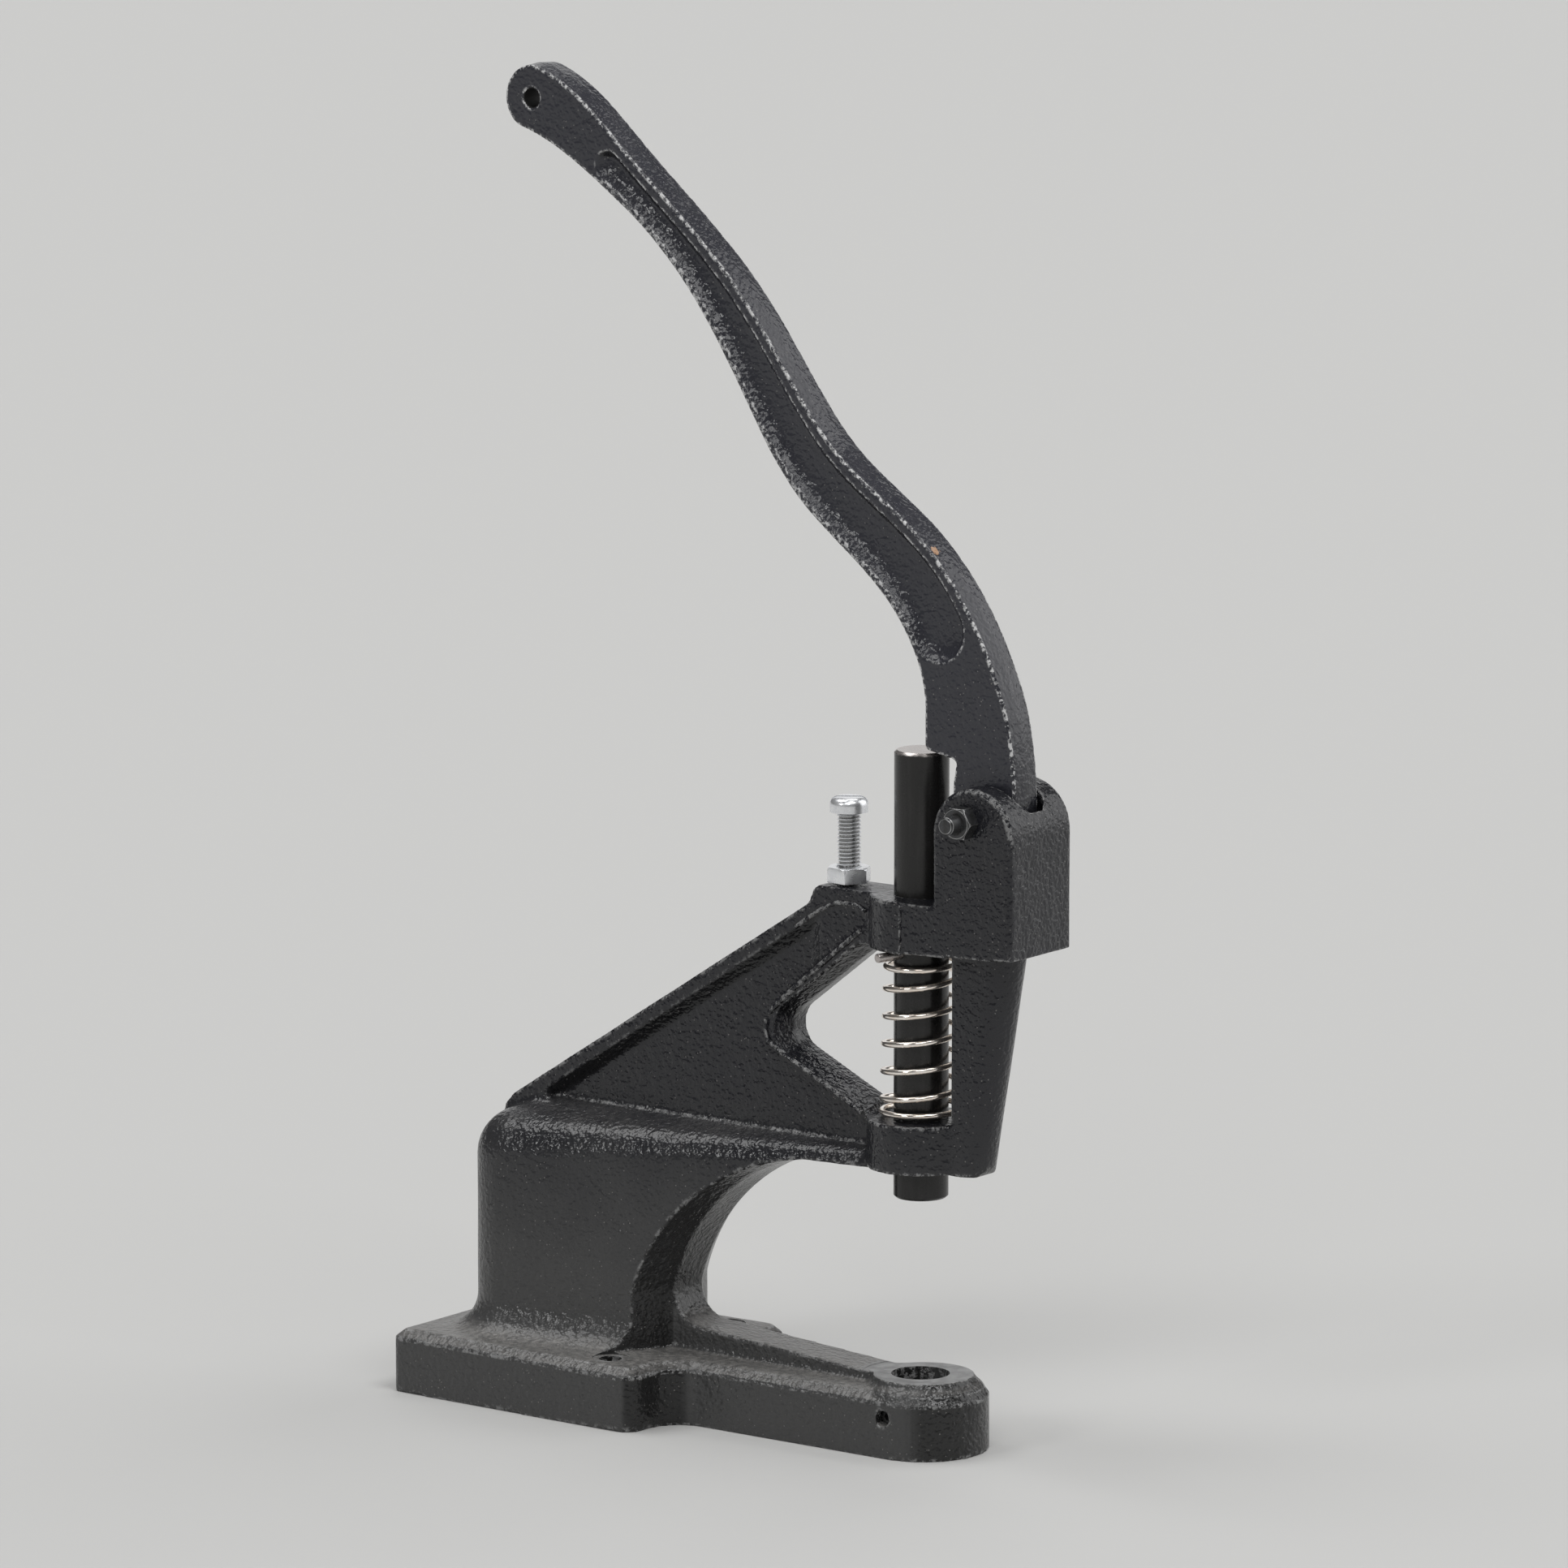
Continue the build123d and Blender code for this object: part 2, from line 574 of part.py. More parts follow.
def return_spring():
    """A closed-end coil: one six-sided wire, drawn as two arcs for each quarter turn."""
    turns = active_turns + 2
    low = lower_top + rest_gap + wire_radius
    high = pin_height - pin_radius - rest_gap - wire_radius
    steps = turns * quarters
    small = 1 / (turns * samples_per_turn)

    def direction(turn):
        ahead = coil_point(min(turn + small, turns), turns, low, high)
        behind = coil_point(max(turn - small, 0), turns, low, high)
        return (ahead - behind).normalized()

    start = coil_point(0, turns, low, high)
    arcs = [Line(start - direction(0) * 2 * wire_radius, start)]
    for i in range(steps):
        first, last = i / quarters, (i + 1) / quarters
        a, b = coil_point(first, turns, low, high), coil_point(last, turns, low, high)
        ta, tb = direction(first), direction(last)
        chord, both = b - a, ta + tb
        k = 2 * (1 - ta.dot(tb))
        reach = (-chord.dot(both) + sqrt(chord.dot(both) ** 2 + k * chord.dot(chord))) / k
        mid = (a + ta * reach + b - tb * reach) * 0.5
        arcs.append(TangentArc(a, mid, tangent=ta))
        arcs.append(TangentArc(mid, b, tangent=arcs[-1] % 1))
    end = coil_point(turns, turns, low, high)
    arcs.append(Line(end, end + direction(turns) * 2 * wire_radius))
    path = Wire(arcs)
    report_spring(path, turns, [arc.radius for arc in arcs[1:-1]])
    section = Plane(origin=path @ 0, z_dir=path % 0) * RegularPolygon(wire_radius, wire_sides)
    return sweep(section, path=path)


# ---------------------------------------------------------------- fasteners
def pivot_bolt():
    end = -collar_radius - m6_nut_height - bolt_end_past_nut
    shank = across(m6_radius, *pivot, end, collar_radius + past)
    shank = chamfer(ends(shank, Axis.Y)[0], shank_chamfer)
    under_head = Plane(origin=(pivot[0], collar_radius, pivot[1]), x_dir=(1, 0, 0), z_dir=(0, 1, 0))
    return shank + under_head * hex_prism(m6_flats, m6_head_height)


def pivot_nut():
    seat = Plane(origin=(pivot[0], -collar_radius, pivot[1]), x_dir=(1, 0, 0), z_dir=(0, -1, 0))
    return seat * hex_prism(m6_flats, m6_nut_height, m6_radius + thread_gap)


def stop_screw():
    head_low = stop_head_top - stop_head_height
    shank = upright(m8_radius, head_low - stop_length, head_low + past, stop_x)
    shank = chamfer(ends(shank, Axis.Z)[0], shank_chamfer)
    top = upright(stop_head_radius, head_low, stop_head_top, stop_x)
    top = chamfer(ends(top, Axis.Z)[-1], stop_head_dome, 2 * stop_head_dome)
    slot = Box(3 * stop_head_radius, stop_slot_width, 2 * stop_slot_depth)
    return shank + top - Pos(stop_x, 0, stop_head_top) * Rot(0, 0, stop_slot_turn) * slot


def stop_lock_nut():
    nut = hex_prism(m8_flats, m8_nut_height, m8_radius + thread_gap)
    return Pos(stop_x, 0, land_height + lock_nut_lift) * Rot(0, 0, lock_nut_turn) * nut


def die_set_screw():
    tip = -die_bore_radius - set_screw_setback
    tail = tip - set_screw_length
    body = across(set_screw_hole_radius - thread_gap, 0, set_screw_height, tail, tip)
    face = Plane(origin=(0, tail, set_screw_height), x_dir=(1, 0, 0), z_dir=(0, 1, 0))
    return body - face * extrude(RegularPolygon(key_flats / sqrt(3), 6), amount=key_depth)


# ---------------------------------------------------------------- write every piece
pieces = {
    "press_frame": press_frame,
    "hand_lever": hand_lever,
    "plunger_rod": plunger_rod,
    "spring_pin": spring_pin,
    "return_spring": return_spring,
    "pivot_bolt": pivot_bolt,
    "pivot_nut": pivot_nut,
    "stop_screw": stop_screw,
    "stop_lock_nut": stop_lock_nut,
    "die_set_screw": die_set_screw,
}

os.makedirs("parts", exist_ok=True)
for name, make in pieces.items():
    shape = make()
    shape.label = name
    export_step(shape, f"parts/{name}.step")
    size = shape.bounding_box()
    print(f"{name}: {len(shape.solids())} solid, volume {shape.volume:.0f}, "
          f"x {size.min.X:.1f}..{size.max.X:.1f}, y {size.min.Y:.1f}..{size.max.Y:.1f}, "
          f"z {size.min.Z:.1f}..{size.max.Z:.1f}")
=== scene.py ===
from math import pi, radians

import bmesh
import bpy
from mathutils import Matrix, Vector


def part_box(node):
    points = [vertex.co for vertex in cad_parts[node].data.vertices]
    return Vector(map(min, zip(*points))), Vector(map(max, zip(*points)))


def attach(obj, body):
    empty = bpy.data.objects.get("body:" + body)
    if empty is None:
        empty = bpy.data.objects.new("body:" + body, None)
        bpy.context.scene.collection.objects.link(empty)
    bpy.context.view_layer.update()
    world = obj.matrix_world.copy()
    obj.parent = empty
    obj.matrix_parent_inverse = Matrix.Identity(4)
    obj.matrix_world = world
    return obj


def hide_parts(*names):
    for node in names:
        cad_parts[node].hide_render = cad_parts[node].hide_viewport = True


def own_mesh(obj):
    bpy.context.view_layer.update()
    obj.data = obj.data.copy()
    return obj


# A hand press that sets eyelets: its castings, plunger and fasteners are dressed here round the
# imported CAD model. Sizes are in metres, X towards the front of the press, Y across it, Z up.
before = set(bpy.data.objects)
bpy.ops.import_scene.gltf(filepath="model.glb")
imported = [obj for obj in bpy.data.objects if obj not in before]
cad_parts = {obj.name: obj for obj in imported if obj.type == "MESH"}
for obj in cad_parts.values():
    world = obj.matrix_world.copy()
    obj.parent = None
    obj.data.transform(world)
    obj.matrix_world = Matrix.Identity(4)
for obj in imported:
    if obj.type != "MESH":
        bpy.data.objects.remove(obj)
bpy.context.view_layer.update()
scene = bpy.context.scene
scene.view_settings.view_transform = "Standard"

# ---------------------------------------------------------------- camera
# A long lens from the near side and a little above, as in the photograph.
camera_data = bpy.data.cameras.new("camera")
camera_data.lens = 251.55
camera_data.sensor_width = 36
camera_data.clip_end = 100
camera = bpy.data.objects.new("camera", camera_data)
camera.location = (2.0638, -2.8273, 0.8481)
camera.rotation_euler = (radians(79.84), 0, radians(36.86))
scene.collection.objects.link(camera)
scene.camera = camera


# ---------------------------------------------------------------- floor and light
# A seamless pale studio floor. Every lamp is far off, so the floor has one even tone out to the
# horizon and keeps only the soft shadow of the press.
class Value:
    """What comes out of a node. Sums, differences and products of values make Math nodes."""

    def __init__(self, finish, socket):
        self.finish, self.socket = finish, socket

    def math(self, operation, first, second):
        return self.finish.node("ShaderNodeMath", "Value", {0: first, 1: second}, operation=operation)

    def __add__(self, other):
        return self.math("ADD", self, other)

    def __sub__(self, other):
        return self.math("SUBTRACT", self, other)

    def __rsub__(self, other):
        return self.math("SUBTRACT", other, self)

    def __mul__(self, other):
        return self.math("MULTIPLY", self, other)

    __radd__, __rmul__ = __add__, __mul__

    def rise(self, low, high, top=1.0):
        """0 below low and top above high, with a smooth rise between them."""
        return self.finish.node(
            "ShaderNodeMapRange", "Result",
            {"Value": self, "From Min": low, "From Max": high, "To Max": top},
            interpolation_type="SMOOTHSTEP")

    def band(self, middle, reach):
        """1 at the middle, falling to 0 that far to each side."""
        return self.rise(middle - reach, middle) * (1 - self.rise(middle, middle + reach))


class Finish:
    """A material and its nodes."""

    def __init__(self, name):
        self.material = bpy.data.materials.new(name)
        self.material.use_nodes = True
        self.material.node_tree.nodes.clear()
        self.place = self.node("ShaderNodeTexCoord", "Object")

    def node(self, kind, output, sockets=None, **settings):
        """A new node with its settings, then its sockets' values or links; gives one output."""
        tree = self.material.node_tree
        made = tree.nodes.new(kind)
        for name, setting in settings.items():
            setattr(made, name, setting)
        for name, value in (sockets or {}).items():
            if isinstance(value, Value):
                tree.links.new(value.socket, made.inputs[name])
            else:
                made.inputs[name].default_value = value
        return Value(self, made.outputs[output]) if made.outputs else None

    def axis(self, name):
        """How far along X, Y or Z a point is, in metres."""
        return self.node("ShaderNodeSeparateXYZ", name, {"Vector": self.place})

    def clouds(self, size, detail=2.0, roughness=0.5, stretch=(1, 1, 1)):
        """Soft random patches of about that size, 0 to 1 round a middle of 0.5."""
        place = self.node("ShaderNodeMapping", "Vector", {"Vector": self.place, "Scale": stretch})
        return self.node("ShaderNodeTexNoise", "Fac", {
            "Vector": place, "Scale": 1 / size, "Detail": detail, "Roughness": roughness})

    def grains(self, size):
        """Distance from the middle of the nearest of many scattered grains of that size."""
        return self.node("ShaderNodeTexVoronoi", "Distance", {"Vector": self.place, "Scale": 1 / size})

    def from_axis(self, x):
        """Distance from an upright line that stands at that x, in metres."""
        flat = self.node("ShaderNodeMapping", "Vector", {
            "Vector": self.place, "Location": (-x, 0, 0), "Scale": (1, 1, 0)})
        return self.node("ShaderNodeVectorMath", "Value", {0: flat}, operation="LENGTH")

    def blend(self, share, first, second):
        """One colour turning into another."""
        return self.node("ShaderNodeMix", 2, {0: share, 6: first, 7: second}, data_type="RGBA")

    def relief(self, height, depth, over=None):
        """Height 0 to 1 as a relief that many metres deep, on top of another relief."""
        sockets = {"Height": height, "Distance": depth}
        if over:
            sockets["Normal"] = over
        return self.node("ShaderNodeBump", "Normal", sockets)

    def edges(self, low, high):
        """1 on outer edges, where paint and plating wear and where highlights are painted, and 0
        elsewhere.
        """
        return self.node("ShaderNodeNewGeometry", "Pointiness").rise(low, high)

    def done(self, **sockets):
        """The shader, from its sockets' names with _ for a space."""
        shader = self.node("ShaderNodeBsdfPrincipled", "BSDF",
                           {name.replace("_", " "): value for name, value in sockets.items()})
        self.node("ShaderNodeOutputMaterial", 0, {"Surface": shader})
        return self.material


def grey(level, red=1.0, blue=1.0):
    """A grey, made warmer or cooler by its shares of red and blue."""
    return (level * red, level, level * blue, 1)


def piece(name, mesh, *materials):
    """A finished mesh as an object of the scene, with its materials."""
    if isinstance(mesh, bmesh.types.BMesh):
        shape, mesh = mesh, bpy.data.meshes.new(name)
        shape.to_mesh(mesh)
        shape.free()
    made = bpy.data.objects.new(name, mesh)
    if mesh.materials:
        mesh.materials.clear()
    for material in materials:
        mesh.materials.append(material)
    scene.collection.objects.link(made)
    return made


floor_tone = grey(0.552, 1.002, 0.985)
floor_reach = 40
floor_paint = Finish("studio_floor")
floor_shape = bmesh.new()
bmesh.ops.create_grid(floor_shape, x_segments=1, y_segments=1, size=floor_reach)
floor = piece("studio_floor", floor_shape, floor_paint.done(
    Base_Color=floor_tone, Roughness=1.0, Specular_IOR_Level=0.0))

# A lamp's height and turn say where its light comes from. They and its spread are in degrees.
for lamp, height, turn, spread, strength in (
        ("overhead_left", 64, 200, 34, 0.95),
        ("overhead_right", 60, -15, 26, 1.00),
        ("camera_high", 42, -62, 26, 0.55),
        ("overhead_rear", 66, 105, 28, 0.40),
        ("front", 22, 50, 60, 1.10),
        ("near_side", 27, -105, 14, 0.40),
        ("rear", 18, 126, 40, 0.25)):
    light = bpy.data.lights.new(lamp, "SUN")
    light.energy = strength
    light.angle = radians(spread)
    stand = bpy.data.objects.new(lamp, light)
    stand.rotation_euler = (radians(90 - height), 0, radians(turn + 90))
    scene.collection.objects.link(stand)

room = bpy.data.worlds.new("room")
room.use_nodes = True
room.node_tree.nodes["Background"].inputs["Color"].default_value = grey(1.0)
room.node_tree.nodes["Background"].inputs["Strength"].default_value = 0.10
scene.world = room


# ---------------------------------------------------------------- press frame
# One grey iron sand casting, fettled and dipped in black semi-gloss paint. The bores, the bench
# holes' spot faces and the ring round the die bore were machined, the ring after painting.
mm = 0.001
touching = 0.001 * mm


def cad_copy(node):
    """A copy of a CAD solid, with its loose triangles joined."""
    shape = bmesh.new()
    shape.from_mesh(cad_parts[node].data)
    bmesh.ops.remove_doubles(shape, verts=shape.verts, dist=touching)
    return shape


def cylinder(shape, radius, low, high, x=0.0, y=0.0, turn=None):
    """Adds a closed cylinder between two heights. A turn is made round the origin after that."""
    place = Matrix.Translation((x, y, (low + high) / 2))
    bmesh.ops.create_cone(shape, cap_ends=True, segments=96, radius1=radius, radius2=radius,
                          depth=high - low, matrix=(turn or Matrix.Identity(4)) @ place)


def evaluated(shape, name, build):
    """The mesh that a piece has with the modifiers that build() adds to it."""
    draft = piece(name, shape)
    build(draft.modifiers)
    mesh = bpy.data.meshes.new_from_object(
        draft.evaluated_get(bpy.context.evaluated_depsgraph_get()))
    bpy.data.objects.remove(draft)
    return mesh


def cut(modifiers, shape, operation="DIFFERENCE"):
    """Takes a shape out of a piece, or joins it on with UNION."""
    step = modifiers.new("cut", "BOOLEAN")
    step.object = shape
    step.solver = "MANIFOLD"
    step.operation = operation


def sand_cast(modifiers, voxel, softening, wave, kept):
    """Rounds the edges, makes the surfaces slightly uneven and keeps a share of the triangles."""
    remesh = modifiers.new("sand", "REMESH")
    remesh.mode = "VOXEL"
    remesh.voxel_size = voxel * 1
    soften = modifiers.new("fettled", "SMOOTH")
    soften.factor = 0.5
    soften.iterations = softening
    thin = modifiers.new("thin", "DECIMATE")
    thin.ratio = kept
    clouds = bpy.data.textures.new("uneven", "CLOUDS")
    clouds.noise_scale = 14 * mm
    clouds.noise_depth = 1
    uneven = modifiers.new("uneven", "DISPLACE")
    uneven.texture = clouds
    uneven.texture_coords = "LOCAL"
    uneven.strength = wave
    uneven.mid_level = 1.0


die_radius = 9.63 * mm
ring_radius = 16.7 * mm
ring_centre = 1.3 * mm
ring_height = 24.8 * mm
deck_height = 21.5 * mm
bench_x, bench_y = -103.7 * mm, 32.0 * mm
bench_hole_radius = 3.8 * mm
spot_face_radius, spot_face_depth = 6.2 * mm, 0.4 * mm
collars = ((94.7 * mm, 110.6 * mm), (168.2 * mm, 184.6 * mm))
bore_radius, bore_foot, bore_top = 9.06 * mm, 92 * mm, 186 * mm
set_screw_height = 13.5 * mm
set_screw_radius, set_screw_inner, set_screw_outer = 2.5 * mm, 9 * mm, 24 * mm
stop_x = -29.4 * mm
stop_hole_radius, stop_hole_foot, stop_hole_top = 4.3 * mm, 169.5 * mm, 190 * mm
to_near_side = Matrix.Rotation(radians(90), 4, "X")

# The CAD model's holes are plugged while the casting gets its skin, and cut clean afterwards.
# The ring's plug stands proud, so that there is iron to mill off.
plug_foot, milling_allowance, bench_plug_drop = 0.5 * mm, 0.5 * mm, 0.1 * mm
bench_plug_radius, collar_plug_radius, set_screw_plug_radius = 5.5 * mm, 11 * mm, 4 * mm
set_screw_plug_outer = 19.5 * mm
casting = cad_copy("press_frame")
cylinder(casting, ring_radius, plug_foot, ring_height + milling_allowance, ring_centre)
for y in (-bench_y, bench_y):
    cylinder(casting, bench_plug_radius, plug_foot, deck_height - bench_plug_drop, bench_x, y)
for low, high in collars:
    cylinder(casting, collar_plug_radius, low, high)
cylinder(casting, set_screw_plug_radius, set_screw_inner, set_screw_plug_outer, 0, set_screw_height,
         to_near_side)

cutters, beads = [], []


def cutter(*sizes):
    """A drill, reamer or spot facer that will be taken out of the casting."""
    tool = bmesh.new()
    cylinder(tool, *sizes)
    cutters.append(piece("cutter", tool))


overrun = 1 * mm
ring_mill_radius, ring_mill_height, spot_facer_height = ring_radius + 4 * mm, 3 * mm, 16 * mm
cutter(die_radius, -overrun, ring_height + overrun)
cutter(ring_mill_radius, ring_height, ring_height + ring_mill_height, ring_centre)
for y in (-bench_y, bench_y):
    cutter(bench_hole_radius, -overrun, deck_height, bench_x, y)
    cutter(spot_face_radius, deck_height - spot_face_depth, deck_height + spot_facer_height, bench_x, y)
cutter(bore_radius, bore_foot, bore_top)
cutter(set_screw_radius, set_screw_inner, set_screw_outer, 0, set_screw_height, to_near_side)
cutter(stop_hole_radius, stop_hole_foot, stop_hole_top, stop_x)

strut_face = 7.9 * mm


def bead(width, line):
    """A round raised line on both faces of the web, from its corners' X and Z in mm."""
    for face in (-strut_face, strut_face):
        corners = [Vector((x * mm, face, z * mm)) for x, z in line]
        bar = bmesh.new()
        bmesh.ops.create_circle(bar, segments=8, radius=width / 2)
        ring = list(bar.edges)
        start = corners[1] - corners[0]
        upright = Vector((0, 0, 1))
        bmesh.ops.rotate(bar, verts=bar.verts, matrix=upright.rotation_difference(start).to_matrix())
        bmesh.ops.translate(bar, verts=bar.verts, vec=corners[0])
        for i, corner in enumerate(corners[1:], 1):
            grown = bmesh.ops.extrude_edge_only(bar, edges=ring)["geom"]
            moved = [g for g in grown if isinstance(g, bmesh.types.BMVert)]
            ring = [g for g in grown if isinstance(g, bmesh.types.BMEdge)]
            bmesh.ops.translate(bar, verts=moved, vec=corner - corners[i - 1])
            if i + 1 < len(corners):
                bend = (corner - corners[i - 1]).rotation_difference(corners[i + 1] - corner)
                bmesh.ops.rotate(bar, verts=moved, cent=corner, matrix=bend.to_matrix())
        bmesh.ops.holes_fill(bar, edges=[e for e in bar.edges if e.is_boundary], sides=0)
        bmesh.ops.recalc_face_normals(bar, faces=bar.faces)
        beads.append(piece("bead", bar))


lower_strut = [
    (-57.2, 137.5), (-57.6, 134.0), (-56.4, 130.4), (-50.2, 126.6), (-36, 120.1), (-18.1, 111.0)]
upper_strut = [(-56.0, 139.8), (-50.0, 145.6), (-36.0, 157.4), (-19.0, 171.4)]
gusset_arc = [
    (-45.5, 169.4), (-38.6, 174.4), (-32, 178.3), (-28.1, 179.7), (-21.5, 179.8), (-17.0, 178.0)]
bead(1.7 * mm, lower_strut)
bead(1.9 * mm, upper_strut)
bead(1.5 * mm, gusset_arc)

# The mould's parting line shows as an upright seam on the upper collar.
seam_radius, seam_length = 0.45 * mm, 15 * mm
seam_middle = (3.6 * mm, -17.1 * mm, 176 * mm)
seam = bmesh.new()
bmesh.ops.create_cone(seam, cap_ends=True, segments=8, radius1=seam_radius, radius2=seam_radius,
                      depth=seam_length, matrix=Matrix.Translation(seam_middle))
beads.append(piece("seam", seam))


def machined(modifiers):
    sand_cast(modifiers, voxel=0.85 * mm, softening=2, wave=0.2 * mm, kept=0.42)
    for shape in beads:
        cut(modifiers, shape, "UNION")
    for shape in cutters:
        cut(modifiers, shape)


frame_mesh = evaluated(casting, "press_frame_casting", machined)
for shape in cutters + beads:
    bpy.data.objects.remove(shape)


def cast_paint(name, upper, lower, turn_low, turn_high, grain=1.0, wear_and_highlight_tone=0.24, wear_and_highlight_lines=None, chip=None):
    """Semi-gloss black paint on sand-cast iron, browner and duller near the bench, and lighter there as
    painted light thrown up from the floor.

    The colour turns from lower to upper between two heights. Grain scales the sand's relief, the wear
    tone is how bright worn edges and painted edge highlights are, the lines function says where else
    there is wear and painted highlight, and chip is the middle of a spot where the paint came off.
    """
    paint = Finish(name)
    height = paint.axis("Z") + (paint.clouds(30 * mm) - 0.5) * (50 * mm)
    low = 1 - height.rise(turn_low, turn_high)
    facing = paint.node("ShaderNodeNewGeometry", "Normal")
    upwards = paint.node("ShaderNodeSeparateXYZ", "Z", {"Vector": facing})
    forwards = paint.node("ShaderNodeSeparateXYZ", "X", {"Vector": facing})
    broken = paint.clouds(2.2 * mm * grain, 3.0, 0.7)

    # Painted shade darkens the faces that look down, high up, and the throat's faces that look to the
    # front, near the bench. Upward faces near the bench get dust, which also stands in for their sheen.
    # Painted shade: undersides high up and the throat's front faces turn near black.
    painted_underside_shade = (1 - upwards.rise(-0.60, -0.25)) * (1 - low)
    painted_throat_shade = forwards.rise(0.30, 0.60) * low
    # Dust, and painted sheen on the top faces near the bench.
    dust_and_sheen = upwards.rise(0.55, 0.95) * low * broken.rise(0.12, 0.88)
    # Worn paint on outer edges and along the given lines; its light tone is also a painted highlight
    # where an edge catches the light.
    wear_and_highlight = paint.edges(0.505, 0.535)
    if wear_and_highlight_lines:
        wear_and_highlight = wear_and_highlight + wear_and_highlight_lines(paint)
    wear_and_highlight = wear_and_highlight.rise(0.0, 1.0) * broken.rise(0.46, 0.60)
    # Painted glints: small light specks that stand in for highlights on the sand's grain.
    painted_glints = (1 - paint.grains(1.9 * mm).rise(0.09, 0.15)) * paint.clouds(9 * mm, 3.0).rise(0.38, 0.55)
    # Where the lower colour is the lighter one, as on the frame, that is painted light thrown up from
    # the floor near the bench.
    colour = paint.blend(low, upper, lower)
    for share, tone in (
            (painted_underside_shade * 0.8, grey(0.002)),
            (painted_throat_shade * 0.85, grey(0.008)),
            (dust_and_sheen * 0.8, grey(0.25, 1.04, 0.95)),
            (wear_and_highlight * 0.85, grey(wear_and_highlight_tone)),
            (painted_glints * 0.8, grey(0.18, 1.04, 0.96))):
        colour = paint.blend(share, colour, tone)

    relief = None
    for bumps, depth in (
            (paint.clouds(7 * mm, 2.0), 0.4 * mm * grain),
            (paint.grains(3.4 * mm).rise(0.06, 0.22), 0.08 * mm),
            (paint.clouds(1.7 * mm, 1.5, 0.5), 0.55 * mm * grain),
            (wear_and_highlight, 0.15 * mm)):
        relief = paint.relief(bumps, depth, relief)
    patches = paint.clouds(16 * mm, 3.0).rise(0.3, 0.7, 0.08)
    roughness = patches + low * 0.05 + dust_and_sheen * 0.2 + 0.17

    if chip:
        away = paint.node("ShaderNodeVectorMath", "Value", {0: paint.place, 1: chip},
                          operation="DISTANCE")
        ragged = (paint.clouds(1.2 * mm, 3.0) - 0.5) * (3 * mm)
        bared = 1 - (away + ragged).rise(1.3 * mm, 1.7 * mm)
        colour = paint.blend(bared, colour, (0.42, 0.25, 0.15, 1))
    return paint.done(Base_Color=colour, Roughness=roughness, Normal=relief)


bevel_foot, bevel_top = 18.0 * mm, 20.9 * mm
crease_height, crease_front = 100.2 * mm, -17 * mm
web_half_inner, web_half_outer = 4.9 * mm, 5.5 * mm


def frame_wear_and_highlight_lines(paint):
    """Wear and painted highlight along the two edges of the bevel round the base, and along the crease
    between web and shoulder.
    """
    height, across, along = paint.axis("Z"), paint.axis("Y"), paint.axis("X")
    bevel = height.band(bevel_foot, 0.7 * mm) + height.band(bevel_top, 0.5 * mm)
    on_web = across.rise(-web_half_outer, -web_half_inner) * (
        1 - across.rise(web_half_inner, web_half_outer))
    behind_collar = 1 - along.rise(crease_front - mm, crease_front)
    return bevel + height.band(crease_height, 0.8 * mm) * on_web * behind_collar


# Its lower colour is lighter than the upper one: painted light from the floor near the bench.
frame_paint = cast_paint(
    "black_frame_paint", upper=grey(0.013, 0.98, 1.25), lower=grey(0.054),
    turn_low=30 * mm, turn_high=120 * mm, wear_and_highlight_lines=frame_wear_and_highlight_lines)

turning_pitch = 0.35 * mm
ring_iron = Finish("machined_ring")
turned = ring_iron.node(
    "ShaderNodeTexNoise", "Fac",
    {"W": ring_iron.from_axis(ring_centre) * (1 / turning_pitch), "Scale": 1.0},
    noise_dimensions="1D")
bare_ring = ring_iron.done(
    Base_Color=ring_iron.blend(ring_iron.clouds(5 * mm, 4.0).rise(0.35, 0.65), grey(0.24), grey(0.34)),
    Metallic=0.7, Roughness=ring_iron.clouds(3 * mm).rise(0.2, 0.8, 0.15) + 0.42,
    Normal=ring_iron.relief(turned, 0.03 * mm))

press = piece("press_frame_casting", frame_mesh, frame_paint, bare_ring)
for face in frame_mesh.polygons:
    above_ring = face.center.z - ring_height
    if -0.05 * mm < above_ring < 1 * mm and face.center.xy.length < 20 * mm:
        face.material_index = 1
frame_mesh.shade_smooth()
frame_mesh.set_sharp_from_angle(angle=radians(38))
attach(press, "frame")
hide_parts("press_frame")


# ---------------------------------------------------------------- hand lever
# The second iron casting, parted along its middle, with a long recess in each side. It has the
# same paint as the frame and is a little bluer, because it is cleaner.
hole_x, hole_z = -155.0 * mm, 434.4 * mm
hole_radius, hole_half_depth = 3.1 * mm, 9 * mm
string_hole = bmesh.new()
cylinder(string_hole, hole_radius, -hole_half_depth, hole_half_depth, hole_x, hole_z, to_near_side)
string_drill = piece("string_drill", string_hole)


def drilled(modifiers):
    sand_cast(modifiers, voxel=0.6 * mm, softening=2, wave=0.2 * mm, kept=0.7)
    cut(modifiers, string_drill)


lever_shape = bmesh.new()
lever_shape.from_mesh(evaluated(cad_copy("hand_lever"), "lever_blank", drilled))
bpy.data.objects.remove(string_drill)

# The recess has soft corners, and its rear wall, which faces up, runs out in a broad hollow.
rim_y = 6.0 * mm
recess = [v for v in lever_shape.verts if abs(v.normal.y) > 0.25 and abs(v.co.y) < rim_y]
rear_wall = [v for v in recess if v.normal.x + v.normal.z > -0.08]
for hollow, rounds in ((recess, 14), (rear_wall, 60)):
    for _ in range(rounds):
        bmesh.ops.smooth_vert(lever_shape, verts=hollow, factor=0.5,
                              use_axis_x=True, use_axis_y=True, use_axis_z=True)

lever_black = grey(0.032, 0.98, 1.25)
chip_middle = (8.0 * mm, -4.1 * mm, 298.9 * mm)
